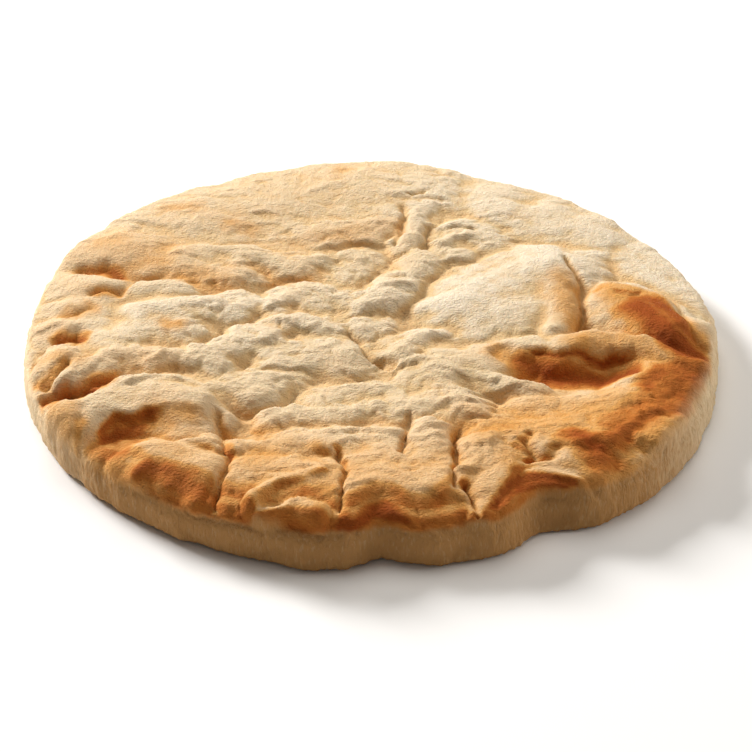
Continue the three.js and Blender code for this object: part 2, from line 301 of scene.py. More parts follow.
WRINKLE_STRETCH = 1.5  # how many times longer they are across the base than along it
WRINKLE_HEIGHT = 0.3
WRINKLE_LEVEL = 0.4  # of the folded noise that leaves the crust where it is
PIT_SIZE = 4.5
PIT_DEPTH = 0.35
SMOOTH_WRINKLES = 0.3  # share of the wrinkles left where the crust is smooth
SMOOTH_PITS = 0.5  # and of the pits
CRUST_STEP = 0.7  # how far the crust's edge stands out over the wall
CRUST_STEP_FADE = (150, 60)  # degrees over the edge between which the step comes in
FIBRE_DEPTH = 0.4  # of the wall's upright fibres
FIBRE_SIZE = 2.2
FIBRE_STRETCH = 0.22  # less draws them out longer
SHORT_FIBRE_DEPTH = 0.6  # of the shorter ones over them, as a share of theirs
SHORT_FIBRE_SIZE = 1.6
FIBRE_FADE = (180, 160)  # degrees over the edge between which the fibres come in
WALL_WAVE = 0.8  # height of the wall's uneven swells, and their length
WALL_WAVE_SIZE = 13.0
WALL_WAVE_STRETCH = 0.5

# Where each kind of noise starts in the run of seeds; what takes several layers takes the next seeds too
SEED = dict(
    warp_x=11, warp_y=12, crust_edge=21, undulation=31, seam=34, fold=36, pit=41, fibre=51,
    short_fibre=55, wall_wave=57, toast_x=61, toast_y=63, face=65, cloud=66, wrinkle=71, ragged_x=81,
    ragged_y=82, crest=91, small_fold=136)

# Where the crust is browned: (half-width, amount, then the line's points). Most rows are the oven's
# browning; some also paint the shade that lies there
TOAST_AND_SHADE = [
    # left; the rows in the recesses under the ridges are browning with painted shade
    (36, 0.26, -118, 50, -98, 48),
    (26, 0.12, -130, 50, -134, 15, -134, -20, -128, -52),
    (10, 0.62, -128, 36, -119, 37, -112, 32),
    (16, 0.34, -108, 38, -94, 42),
    (7, 0.50, -121, 14, -112, 16),
    (10, 0.35, -132, -4, -122, 2),
    (9, 0.62, -131, -22, -122, -22),
    (8, 0.50, -131, -52, -125, -45),
    (14, 0.30, -132, -40, -120, -44),
    (11, 0.76, -128, -66, -116, -64, -107, -57),
    (14, 0.15, -108, -46, -84, -44),
    (10, 0.40, -87, -13, -82, -13),
    # front; the rows on the face under the blister's edge are browning with painted shade
    (16, 0.36, -121, -82, -112, -95),
    (8, 0.80, -102, -92, -98.5, -87, -93, -86.5, -88, -85),
    (14, 0.55, -101, -95, -92, -93),
    (10, 0.62, -103, -98, -96, -104),
    (6, 0.45, -112, -88, -113, -97),
    (12, 0.40, -84, -82, -72, -81),
    (14, 0.30, -86, -92, -66, -90),
    (10, 0.80, -84, -116, -76, -119, -68, -124, -61, -129),
    (6, 0.55, -40, -134, -34, -131.5, -25, -130),
    (5, 0.60, -38, -149, -25, -148, -14, -147),
    (7, 1.00, -8, -144, 2, -143, 13, -143),
    # right; the rows in the hollow under the fold are painted shadow over browning
    (22, 0.75, 98, -88, 114, -74, 126, -60, 134, -48),
    (13, 0.80, 112, -62, 122, -50, 132, -46),
    (17, 0.88, 80, -98, 86, -107),
    (14, 0.82, 92, -97, 100, -88, 110, -81, 119, -76, 126, -68),
    (40, 0.40, 50, -92, 96, -76),
    (12, 0.40, 54, -30, 62, -38),
    (12, 0.80, 61, -36, 74, -40),
    (14, 0.90, 76, -42, 90, -43, 98, -45, 108, -43),
    (20, 0.40, 90, -30, 108, -32, 124, -42),
    (15, 1.00, 114, -4, 120, -16, 128, -27, 134, -36),
    (20, 0.52, 109, 7, 120, 2),
    (11, 0.45, 101, 15, 109, 15, 116, 12, 121, 7),
    (14, 0.92, 121, 0, 127, -9, 133, -20),
    (4, 0.70, 106, 10, 111, 7, 116, 9),
    (15, 0.38, 84, 24, 85, -8),
    # back
    (16, 0.22, -24, 67, -8, 71, 10, 77),
    (16, 0.25, -84, 34, -66, 28),
    (8, 0.22, -60, 40, -44, 34, -36, 28, -24, 36),
    (10, 0.28, -66, 76, -56, 74),
    (70, 0.08, -100, 70, -40, 100),
    (12, 0.30, -96, 92, -84, 92),
    (12, 0.25, -14, 132, -16, 122),
]
TOAST_STRAY = [(2.5, 16), (1.5, 5)]  # how far the edges of the browning stray, and over what length

# Where flour lies on it: rows as for the browning
FLOUR = [
    (46, 1.0, 36, 6, 60, 26, 80, 40),
    (50, 0.9, 112, 64, 132, 34),
    (60, 0.7, 50, 100, 100, 70),
    (30, 0.6, -100, -6, -50, 4),
    (44, 0.4, -50, -20, 0, 10),
]
FLOUR_ALL_OVER = 0.4  # share of it that lies on crests everywhere
FLOUR_TOAST = (0.45, 0.05)  # browning that shows no flour, and that shows all of it
CREST_LEVELS = (0.7, -0.5)  # how far below its surroundings the crust has no flour, and has most
CREST_STRAY = [(0.3, 7)]  # how far those stray, and over what length

RIM_GOLD = 0.30  # browning all over the rim where the oven was hottest
RIM_SHARES = (0.45, 0.8)  # of the radius between which it comes in
FACE_TOAST_AND_SHADE = 0.4  # more of it where the rim's puffs face outwards: browning together with painted shade on faces turned away from the light
FACE_LEVELS = (0.05, 0.6)  # how far outwards a face looks where that starts, and where it is most
FACE_STRAY = [(0.15, 8)]  # how far those stray, and over what length
CAVITY_SHADE = 0.1  # painted warm shade in the cracks and hollows between the puffs, added to the browning
CAVITY_LEVELS = (0.1, 1.2)  # how far below their surroundings the painted shade starts, and where it is strongest
CAVITY_PASSES = 40  # of evening out that give the surroundings' height
CLOUD_GOLD = 0.08  # browning of the faint clouds all over the crust, and their size
CLOUD_SIZE = 24.0
CLOUD_LEVELS = (0, 0.6)  # of the noise between which a cloud comes in
HOT_AND_SHADED_BEARING = 270  # of the hottest side, in degrees from +X: the front, whose rim browns most and whose outward faces and wall carry painted shade
HOT_SPREAD = 70
HOT_CORE = 0.3 * HOT_SPREAD  # within which it is all as hot
FRONT_SHADE_TAN = (75, 35)  # degrees from the hottest side between which the wall's tan comes in; on the front it is darker, as painted shade
TAN_BACK = (95, 125)  # and the back's
BACK_TAN = 0.55  # how tanned the wall is at the back, against the front
MASKS = ("toast_and_shade", "wall", "tan", "flour")  # what each point of the crust tells its material

# The photograph's camera, which looks down on the base from straight in front
CAMERA_ELEVATION = math.radians(33.4)
CAMERA_DISTANCE = 745.0  # from what it looks at
CAMERA_TARGET = (2.33, -30.5, 8.0)
CAMERA_LENS = 85.0


def smoothstep(value, low, high):
    """From 0 at low to 1 at high, level at both ends."""
    share = np.clip((value - low) / (high - low), 0, 1)
    return share * share * (3 - 2 * share)


def at_least(least, share):
    """Runs from the least to 1 as the share runs from 0 to 1."""
    return least + (1 - least) * share


def waves(x, y, phase, reach, wavelength, count, shrink):
    """An uneven height made of sine waves, each shorter and lower than the last."""
    total = np.zeros_like(x)
    for i in range(count):
        share = shrink ** i
        angle = i * GOLDEN_ANGLE + phase
        along = x * math.cos(angle) + y * math.sin(angle)
        total += share * np.sin(2 * math.pi * along / (wavelength * share) + phase + 2 * i)
    return reach * total


def place_by_line(x, y, line):
    """Where places lie by a bent line: their distance, how far to the right of it, and how far from its
    nearer end along it, as a share of its length."""
    nearest = np.full_like(x, np.inf)
    right = np.zeros_like(x)
    passed = np.zeros_like(x)
    length = 0
    for x0, y0, x1, y1 in zip(line[0:-2:2], line[1:-2:2], line[2::2], line[3::2]):
        run_x = x1 - x0
        run_y = y1 - y0
        run = math.hypot(run_x, run_y)
        along = np.clip(((x - x0) * run_x + (y - y0) * run_y) / run ** 2, 0, 1)
        distance = np.hypot(x - x0 - along * run_x, y - y0 - along * run_y)
        side = np.sign((x - x0) * run_y - (y - y0) * run_x)
        closer = distance < nearest
        nearest = np.where(closer, distance, nearest)
        right = np.where(closer, side * distance, right)
        passed = np.where(closer, length + along * run, passed)
        length += run
    return nearest, right, np.minimum(passed, length - passed) / length


def form_height(x, y, form, shape):
    """Height of one form at each place: shape gives it as a share, at a share of the half-width."""
    half_width, height, *line = form
    distance = place_by_line(x, y, line)[0]
    return height * shape(np.minimum(distance / half_width, 1))


# Shapes of the forms, from 1 on their line to 0 at their half-width
def mound(share):
    return (1 - share ** 2) ** MOUND_FULLNESS


def pit(share):
    return (1 - share ** 4) ** 2


def bowl(share):
    return (1 - share ** 2) ** 2


def groove(share):
    return (1 - share) ** 2


def relief(x, y):
    """Height of the crust over its base form, at places measured along the crust from the centre."""
    bent_x = x + waves(x, y, BEND_PHASES[0], **BEND)
    bent_y = y + waves(x, y, BEND_PHASES[1], **BEND)
    blended = np.zeros_like(x)
    for puff in PUFFS:
        blended += form_height(bent_x, bent_y, puff, mound) ** BLEND_POWER
    for rise in RISES:
        blended += form_height(bent_x, bent_y, rise, bowl) ** BLEND_POWER
    height = blended ** (1 / BLEND_POWER)
    deepest = np.zeros_like(x)
    for hollow in HOLLOWS:
        deepest = np.maximum(deepest, form_height(bent_x, bent_y, hollow, pit))
    for dip in DIPS:
        deepest = np.maximum(deepest, form_height(bent_x, bent_y, dip, bowl))
    height -= deepest
    for crease in CREASES:
        height -= form_height(bent_x, bent_y, crease, groove)
    return height + waves(x, y, **RIPPLE)


def cliff(x, y, face, reach, line):
    """A cliff's share of its drop: most just right of its line, then less and less; none at its ends."""
    _, right, from_end = place_by_line(x, y, line)
    fading = np.clip(1 - right / reach, 0, 1) ** 2
    return smoothstep(right, 0, face) * fading * smoothstep(from_end, 0, CLIFF_END)


def swell(bearing, rows):
    """How far the rows of a table push the outline out at a bearing."""
    total = np.zeros_like(bearing)
    for centre, half_width, size in rows:
        away = np.mod(bearing - math.radians(centre) + math.pi, 2 * math.pi) - math.pi
        total += size * np.exp(-((away / math.radians(half_width)) ** 2))
    return total


def bulge(value):
    """A power that keeps the sign, for the squared-off edge."""
    return np.sign(value) * np.abs(value) ** SQUARENESS


def cell_value(column, row, seed):
    """A repeatable value from 0 to 1 for each cell of a grid."""
    value = (column * COLUMN_MIXER + row * ROW_MIXER + seed * SEED_MIXER) & WORD
    value = ((value ^ (value >> FIRST_SHIFT)) * LAST_MIXER) & WORD
    return ((value ^ (value >> LAST_SHIFT)) & HALF_WORD) / HALF_WORD


def ease(share):
    """From 0 to 1, level at both ends and without a kink there."""
    return share ** 3 * (share * (share * 6 - 15) + 10)


def noise(x, y, size, seed):
    """Smooth noise of about -1 to 1, with features of about that size."""
    x = x / size
    y = y / size
    column = np.floor(x).astype(np.int64)
    row = np.floor(y).astype(np.int64)
    in_x = x - column
    in_y = y - row
    ease_x = ease(in_x)
    ease_y = ease(in_y)
    total = np.zeros_like(x)
    for step_x in (0, 1):
        for step_y in (0, 1):
            angle = 2 * math.pi * cell_value(column + step_x, row + step_y, seed)
            slope = np.cos(angle) * (in_x - step_x) + np.sin(angle) * (in_y - step_y)
            weight = (ease_x if step_x else 1 - ease_x) * (ease_y if step_y else 1 - ease_y)
            total += weight * slope
    return NOISE_GAIN * total


def stray(x, y, rows, seed):
    """How far something strays at each place: noise with the reach and the length of each row, added up."""
    return sum(reach * noise(x, y, size, seed + i) for i, (reach, size) in enumerate(rows))


def layers(x, y, size, seed, count, fold=False):
    """Noise in layers, each half the size and height of the last; folded noise has sharp creases."""
    total = np.zeros_like(x)
    for i in range(count):
        layer = noise(x, y, size / 2 ** i, seed + i)
        total += (np.abs(layer) if fold else layer) / 2 ** i
    return total


def patches(x, y, rows):
    """The strongest of a table's soft patches at each place."""
    strongest = np.zeros_like(x)
    for row in rows:
        strongest = np.maximum(strongest, form_height(x, y, row, bowl))
    return strongest


def folds(x, y, spacing, seed):
    """Low overlapping folds of dough, 0 to 1 high: each slopes gently up to a steep, wavy front edge."""
    x = x / spacing
    y = y / spacing
    across = y + stray(x, y, FOLD_STRAY, seed)
    share = across - np.floor(across)
    folded = smoothstep(noise(x, y, FOLD_PATCH, seed + len(FOLD_STRAY)), *FOLD_PATCH_LEVELS)
    return (1 - share) * np.minimum(share / FOLD_FRONT, 1) * folded


class Crust:
    """The mesh of the base: rings of points from the middle of the top to the middle of the sole."""

    def __init__(self):
        self.rings = []
        self.place_rings()
        self.place_points()
        self.triangles = self.stitch_rings()
        self.roughen()

    def place_rings(self):
        """Lists each ring: how many points, its distance from the centre, and its turn over the edge."""
        self.rings.append((1, 0.0, 0.0))
        for k in range(1, TOP_RINGS + 1):
            self.rings.append((RING_STEP * k, TOP_RADIUS * k / TOP_RINGS, 0.0))
        for k in range(1, EDGE_BANDS + 1):
            self.rings.append((AROUND, TOP_RADIUS, math.pi * k / EDGE_BANDS))
        for share in SOLE_SHARES:
            self.rings.append((int(AROUND * share) // SOLE_COARSENESS, TOP_RADIUS * share, 2 * math.pi))
        self.rings.append((1, 0.0, 2 * math.pi))

    def place_points(self):
        """Works out where each point of the rings lies, with all of the relief but the finest."""
        counts = [ring[0] for ring in self.rings]
        self.starts = np.concatenate([[0], np.cumsum(counts)])
        bearing = np.concatenate([np.arange(n) * 2 * math.pi / n for n in counts])
        out = np.repeat([ring[1] for ring in self.rings], counts)
        turn = np.repeat([ring[2] for ring in self.rings], counts)
        self.sole = turn > math.pi
        self.turn = np.minimum(turn, math.pi)
        self.flat = self.turn >= math.pi
        self.bearing = bearing
        along = out + SHOULDER_WIDTH * np.where(self.sole, 0, self.turn)
        self.x = along * np.cos(bearing)
        self.y = along * np.sin(bearing)
        height = self.form_heights()
        edge = RADIUS + swell(bearing, SWELLS)
        lean = swell(bearing, LEANS)

        share = out / TOP_RADIUS
        rim = np.where(self.sole, edge, edge - lean) - SHOULDER_WIDTH
        top_radius = out * (1 + (rim / TOP_RADIUS - 1) * share ** 2)
        top_height = RIM_HEIGHT - DISH * (1 - smoothstep(share, DISH_FLOOR, DISH_BRIM)) + height

        upper = self.turn <= math.pi / 2
        sine = np.sin(self.turn)
        cosine = np.cos(self.turn)
        lift = height * smoothstep(cosine, PUFF_REACH, 1)
        width = np.where(upper, SHOULDER_WIDTH, FOOT_WIDTH)
        rise = np.where(upper, RIM_HEIGHT - BELLY_HEIGHT, BELLY_HEIGHT)
        wall_radius = edge - width * (1 - bulge(sine)) - lean * (1 + cosine) / 2
        wall_radius += lift * PUFF_OVERHANG * sine
        wall_height = np.maximum(0, BELLY_HEIGHT + rise * bulge(cosine) + lift * np.maximum(0, cosine))

        on_top = turn == 0
        radius = np.where(on_top | self.sole, top_radius, wall_radius)
        z = np.where(on_top, top_height, np.where(self.sole, 0, wall_height))
        self.points = np.column_stack([radius * np.cos(bearing), radius * np.sin(bearing), z])

    def form_heights(self):
        """How far the forms raise the crust at each point; works out the browning and painted shade under
        the cliffs, too.
        """
        x = self.x + stray(self.x, self.y, RAGGED, SEED["ragged_x"])
        y = self.y + stray(self.x, self.y, RAGGED, SEED["ragged_y"])
        height = relief(x, y)
        self.cliff_toast_and_shade = np.zeros_like(height)
        for face, reach, drop, browning, *line in CLIFFS:
            height -= drop * cliff(x, y, face, reach, line)
            # browning under the cliff, with painted shade on the face below
            toast_and_shade = browning * cliff(x, y, CRISP, reach, line)
            self.cliff_toast_and_shade = np.maximum(self.cliff_toast_and_shade, np.minimum(toast_and_shade, CLIFF_BROWNEST))
        return height

    def stitch_rings(self):
        """Triangles between each ring and the next, however many points the two have."""
        triangles = []
        for k in range(len(self.rings) - 1):
            inner_start, outer_start = int(self.starts[k]), int(self.starts[k + 1])
            inner_count, outer_count = self.rings[k][0], self.rings[k + 1][0]
            i = j = 0
            while i < inner_count or j < outer_count:
                inner = inner_start + i % inner_count
                outer = outer_start + j % outer_count
                if j < outer_count and (i >= inner_count or (j + 1) * inner_count <= (i + 1) * outer_count):
                    j += 1
                    if outer_count > 1:
                        triangles.append((inner, outer, outer_start + j % outer_count))
                else:
                    i += 1
                    if inner_count > 1:
                        triangles.append((inner, outer, inner_start + i % inner_count))
        return np.array(triangles)

    def normals(self):
        """Which way the surface faces at each point: the mean of the triangles around it."""
        corners = self.points[self.triangles]
        faces = np.cross(corners[:, 1] - corners[:, 0], corners[:, 2] - corners[:, 0])
        total = np.zeros_like(self.points)
        for corner in range(3):
            np.add.at(total, self.triangles[:, corner], faces)
        return total / np.linalg.norm(total, axis=1, keepdims=True)

    def roughen(self):
        """Adds the fine relief along the normals, and works out the masks that the materials read."""
        x, y = self.x, self.y
        normals = self.normals()
        self.brown(normals)
        degrees = np.degrees(self.turn)
        soft = np.minimum(1, swell(self.bearing, SOFT_EDGES))
        past_crust = degrees - swell(self.bearing, CRUST_REACH)
        past_crust += stray(x, y, CRUST_EDGE_STRAY, SEED["crust_edge"])
        showing = CRUST_EDGE[0] - SOFT_EDGE[0] * soft
        bare = CRUST_EDGE[1] + SOFT_EDGE[1] * soft
        self.wall = smoothstep(past_crust, showing, bare)
        fine = self.crumpling() + self.wall_relief(degrees)
        fine[self.flat] = 0
        self.points += normals * fine[:, None]
        self.points[:, 2] = np.maximum(self.points[:, 2], 0)
        height = self.points[:, 2]
        sunken = self.smoothed(height, CAVITY_PASSES) - height
        # painted warm shade: places sunken below their surroundings are browned
        self.toast_and_shade += CAVITY_SHADE * smoothstep(sunken, *CAVITY_LEVELS) * (1 - self.wall)
        crests = smoothstep(sunken + stray(x, y, CREST_STRAY, SEED["crest"]), *CREST_LEVELS)
        dusted = at_least(FLOUR_ALL_OVER, patches(x, y, FLOUR))
        self.flour = crests * dusted * smoothstep(self.toast_and_shade, *FLOUR_TOAST)

    def crumpling(self):
        """Height of the crust's fine relief: low folds, swells, seams, wrinkles and pits."""
        x, y = self.x, self.y
        crust = 1 - self.wall
        rough = (1 - patches(x, y, SMOOTH)) * crust
        warp_x = x + stray(x, y, WARP, SEED["warp_x"])
        warp_y = y + stray(x, y, WARP, SEED["warp_y"])
        folded = folds(x, y, FOLD_SPACING, SEED["fold"])
        folded += SMALL_FOLD_HEIGHT * folds(x, y, SMALL_FOLD_SPACING, SEED["small_fold"])
        swells = layers(warp_x, warp_y, UNDULATION_SIZE, SEED["undulation"], count=2)
        fine = FOLD_HEIGHT * folded + UNDULATION * swells
        for i, (size, depth) in enumerate(SEAMS):
            seam = np.abs(noise(warp_x, warp_y, size, SEED["seam"] + i))
            fine -= depth * smoothstep(seam, SEAM_LEVEL, 0)
        drawn_x = warp_x / WRINKLE_STRETCH
        wrinkles = layers(drawn_x, warp_y, WRINKLE_SIZE, SEED["wrinkle"], count=2, fold=True)
        pits = layers(x, y, PIT_SIZE, SEED["pit"], count=3)
        fine *= rough
        fine += WRINKLE_HEIGHT * (wrinkles - WRINKLE_LEVEL) * at_least(SMOOTH_WRINKLES, rough) * crust
        return fine + PIT_DEPTH * pits * at_least(SMOOTH_PITS, rough) * crust

    def wall_relief(self, degrees):
        """Height of the wall's fine relief: upright fibres and uneven swells, set back from the crust."""
        arc = self.bearing * RADIUS
        height = self.points[:, 2]
        fibres = layers(arc, height * FIBRE_STRETCH, FIBRE_SIZE, SEED["fibre"], count=2)
        fibres += SHORT_FIBRE_DEPTH * noise(arc, height, SHORT_FIBRE_SIZE, SEED["short_fibre"])
        swells = layers(arc, height * WALL_WAVE_STRETCH, WALL_WAVE_SIZE, SEED["wall_wave"], count=2)
        fine = FIBRE_DEPTH * fibres * smoothstep(degrees, *FIBRE_FADE) + WALL_WAVE * swells
        fine -= CRUST_STEP * smoothstep(degrees, *CRUST_STEP_FADE)
        return fine * self.wall

    def smoothed(self, values, passes):
        """Values evened out over each point's neighbours in the mesh."""
        sides = np.concatenate([self.triangles[:, pair] for pair in ([0, 1], [1, 2], [2, 0])])
        neighbours = np.bincount(sides[:, 0])
        for _ in range(passes):
            values = np.bincount(sides[:, 0], values[sides[:, 1]]) / neighbours
        return values

    def brown(self, normals):
        """How brown the crust is: patches of its own, and the outward faces of the hot side's rim, partly
        painted shade; also the wall's tan, darker on the front as painted shade.
        """
        x, y = self.x, self.y
        toast_x = x + stray(x, y, TOAST_STRAY, SEED["toast_x"])
        toast_y = y + stray(x, y, TOAST_STRAY, SEED["toast_y"])
        away = np.abs(np.mod(np.degrees(self.bearing) - HOT_AND_SHADED_BEARING + 180, 360) - 180)
        hot_and_shaded = smoothstep(away, HOT_SPREAD, HOT_CORE) * smoothstep(np.hypot(x, y) / RADIUS, *RIM_SHARES)
        outward = normals[:, 0] * np.cos(self.bearing) + normals[:, 1] * np.sin(self.bearing)
        face = smoothstep(outward + stray(x, y, FACE_STRAY, SEED["face"]), *FACE_LEVELS)
        # the front rim's browning, with painted shade on its outward faces
        rim = hot_and_shaded * (RIM_GOLD + FACE_TOAST_AND_SHADE * face)
        self.toast_and_shade = np.maximum(np.maximum(patches(toast_x, toast_y, TOAST_AND_SHADE), rim), self.cliff_toast_and_shade)
        self.toast_and_shade += CLOUD_GOLD * smoothstep(noise(x, y, CLOUD_SIZE, SEED["cloud"]), *CLOUD_LEVELS)
        # the wall's tan: darker on the front as painted shade, and a lighter tan carried round the back
        self.tan = smoothstep(away, *FRONT_SHADE_TAN) + BACK_TAN * smoothstep(away, *TAN_BACK)

    def build(self, name):
        """Makes the piece: the mesh, with the sole's own material and the masks that the materials read."""
        mesh = bpy.data.meshes.new(name)
        mesh.from_pydata((self.points * MM).tolist(), [], self.triangles.tolist())
        mesh.shade_smooth()
        underneath = self.flat[self.triangles].all(axis=1)
        mesh.polygons.foreach_set("material_index", underneath.astype(np.int32))
        for label in MASKS:
            layer = mesh.attributes.new(label, "FLOAT", "POINT")
            layer.data.foreach_set("value", getattr(self, label).astype(np.float32))
        piece = bpy.data.objects.new(name, mesh)
        bpy.context.collection.objects.link(piece)
        return piece


def new_node(tree, kind, inputs=None, **settings):
    """Adds a node with its own settings; an input is linked if it is given a socket, and set otherwise."""
    node = tree.nodes.new(kind)
    for name, value in settings.items():
        setattr(node, name, value)
    for name, value in (inputs or {}).items():
        if isinstance(value, bpy.types.NodeSocket):
            tree.links.new(value, node.inputs[name])
        else:
            node.inputs[name].default_value = value
    return node


def srgb(red, green, blue):
    """A colour as a paint picker gives it, 0 to 255, in the linear values that the shader takes."""
    linear = []
    for value in (red, green, blue):
        value = value / 255
        linear.append(value / 12.92 if value <= 0.04045 else ((value + 0.055) / 1.055) ** 2.4)
    return (*linear, 1.0)


# Colours of the crust from unbaked to burnt, which also paint the shade carried in the browning, of flour,
# and of the wall from pale to tanned, the tan end darker as painted shade for the front wall
BROWNING = [
    (0.00, srgb(214, 186, 140)),
    (0.25, srgb(220, 180, 128)),
    (0.50, srgb(212, 154, 84)),
    (0.75, srgb(187, 112, 43)),
    (1.00, srgb(156, 75, 18)),
]
FLOUR_COLOUR = srgb(232, 216, 190)
WALL_COLOURS = [
    (0.0, srgb(226, 202, 164)),
    (1.0, srgb(186, 138, 84)),
]
# How all of the dough takes light: matt, soft and slightly translucent
DOUGH = {
    "Roughness": 0.8,
    "Specular IOR Level": 0.15,
    "Subsurface Weight": 0.2,
    "Subsurface Radius": (1.0, 0.7, 0.45),
    "Subsurface Scale": 0.0015,
}
# The grain of the dough, with features per metre, and how far it stands out, in metres
GRAIN = {"Detail": 4, "Roughness": 0.6}
CRUST_GRAIN = {"Fineness": 1000, "Stretch": (0.7, 1, 1)}
WALL_GRAIN = {"Fineness": 900, "Stretch": (1, 1, 0.25)}
SOLE_GRAIN = {"Fineness": 420, "Stretch": (1, 1, 1)}
CRUST_BUMP = {"Strength": 1.0, "Distance": 0.0013}
SOLE_BUMP = {"Strength": 1.0, "Distance": 0.001}
# Mottle over the browning, and how much it takes off and adds; streaks of tan along the wall's fibres
MOTTLE = {"Scale": 110, "Detail": 6, "Roughness": 0.65}
MOTTLE_SPREAD = {"To Min": -0.12, "To Max": 0.22}
STREAK_SPREAD = {"From Min": 0.3, "From Max": 0.7, "To Min": -0.25, "To Max": 0.25}
# Where the sole touched the oven floor, and how brown that made it; flour left on it, and how thick
TOUCH = {"Scale": 38, "Detail": 5, "Roughness": 0.6}
TOUCH_TOAST = {"From Min": 0.35, "From Max": 0.75, "To Min": 0.05, "To Max": 0.85}
DUST = {"Scale": 210, "Detail": 4, "Roughness": 0.7}
DUST_COVER = {"From Min": 0.52, "From Max": 0.68, "To Max": 0.7}


def added(tree, first, second):
    """The sum of two values."""
    return new_node(tree, "ShaderNodeMath", {0: first, 1: second}, operation="ADD").outputs["Value"]


def mixed(tree, factor, first, second, kind):
    """The first where the factor is 0 and the second where it is 1."""
    inputs = {"Factor": factor, "A": first, "B": second}
    return new_node(tree, "ShaderNodeMix", inputs, data_type=kind).outputs["Result"]


def spread_out(tree, value, spread):
    """A value brought from one range to another."""
    return new_node(tree, "ShaderNodeMapRange", {"Value": value, **spread}).outputs["Result"]


def grained(tree, grain, fineness):
    """The height of the dough's grain."""
    return new_node(tree, "ShaderNodeGroup", fineness, node_tree=grain).outputs["Height"]


def browned(tree, browning, toast_and_shade):
    """The colour and the mottle of dough toasted by a given amount, which on the crust carries painted shade
    as well.
    """
    return new_node(tree, "ShaderNodeGroup", {"Toast and shade": toast_and_shade}, node_tree=browning).outputs


def cover(tree, surface, colour, height, bump):
    """Gives a surface its colour and the grain that stands out of it."""
    tree.links.new(colour, surface["Base Color"])
    normal = new_node(tree, "ShaderNodeBump", {"Height": height, **bump}).outputs["Normal"]
    tree.links.new(normal, surface["Normal"])


def ramp_colour(tree, factor, stops):
    """The colour at a factor on a ramp with the given stops."""
    ramp = new_node(tree, "ShaderNodeValToRGB", {"Fac": factor})
    elements = ramp.color_ramp.elements
    while len(elements) > 1:
        elements.remove(elements[-1])
    elements[0].position, elements[0].color = stops[0]
    for position, colour in stops[1:]:
        elements.new(position).color = colour
    return ramp.outputs["Color"]


def new_group(name, inputs, outputs):
    """An empty shader node group with the named sockets, and its input and output nodes."""
    group = bpy.data.node_groups.new(name, "ShaderNodeTree")
    for label, kind in inputs.items():
        group.interface.new_socket(label, in_out="INPUT", socket_type="NodeSocket" + kind)
    for label, kind in outputs.items():
        group.interface.new_socket(label, in_out="OUTPUT", socket_type="NodeSocket" + kind)
    return group, new_node(group, "NodeGroupInput").outputs, new_node(group, "NodeGroupOutput").inputs


def grain_group():
    """Grain: an uneven height of a given fineness, finer along each axis by that axis of the stretch."""
    group, given, result = new_group(
        "dough_grain", {"Fineness": "Float", "Stretch": "Vector"}, {"Height": "Float"})
    place = new_node(group, "ShaderNodeTexCoord").outputs["Object"]
    drawn = new_node(group, "ShaderNodeVectorMath", {0: place, 1: given["Stretch"]}, operation="MULTIPLY")
    inputs = {"Vector": drawn.outputs["Vector"], "Scale": given["Fineness"], **GRAIN}
    grain = new_node(group, "ShaderNodeTexNoise", inputs)
    group.links.new(grain.outputs["Fac"], result["Height"])
    return group


def browning_group():
    """Browning: the colour of dough toasted by a given amount, mottled as the oven leaves it; on the crust
    the amount also carries painted shade.
    """
    group, given, result = new_group(
        "oven_browning", {"Toast and shade": "Float"}, {"Colour": "Color", "Mottle": "Float"})
    place = new_node(group, "ShaderNodeTexCoord").outputs["Object"]
    patchy = new_node(group, "ShaderNodeTexNoise", {"Vector": place, **MOTTLE})
    mottle = spread_out(group, patchy.outputs["Fac"], MOTTLE_SPREAD)
    group.links.new(ramp_colour(group, added(group, given["Toast and shade"], mottle), BROWNING), result["Colour"])
    group.links.new(mottle, result["Mottle"])
    return group


def dough_material(name):
    """A material with the shader that all of the dough has, its node tree and the shader's inputs."""
    material = bpy.data.materials.new(name)
    material.use_nodes = True
    surface = material.node_tree.nodes["Principled BSDF"].inputs
    for label, value in DOUGH.items():
        surface[label].default_value = value
    return material, material.node_tree, surface


def crust_material(grain, browning):
    """Top and wall: floury on the crests, browned by patches, with painted shade in the hollows and under
    the edges, and a pale fibrous wall tanned darker on the front as painted shade.
    """
    material, tree, surface = dough_material("baked_crust")
    mask = {}
    for label in MASKS:
        mask[label] = new_node(tree, "ShaderNodeAttribute", attribute_name=label).outputs["Fac"]
    brown = browned(tree, browning, mask["toast_and_shade"])
    floured = mixed(tree, mask["flour"], brown["Colour"], FLOUR_COLOUR, "RGBA")
    stipple = grained(tree, grain, CRUST_GRAIN)
    fibres = grained(tree, grain, WALL_GRAIN)
    streaks = spread_out(tree, fibres, STREAK_SPREAD)
    # the wall's tan and painted shade, streaked along its fibres and mottled
    tanned_and_shaded = added(tree, added(tree, mask["tan"], streaks), brown["Mottle"])
    wall_colour = ramp_colour(tree, tanned_and_shaded, WALL_COLOURS)
    colour = mixed(tree, mask["wall"], floured, wall_colour, "RGBA")
    height = mixed(tree, mask["wall"], stipple, fibres, "FLOAT")
    cover(tree, surface, colour, height, CRUST_BUMP)
    return material


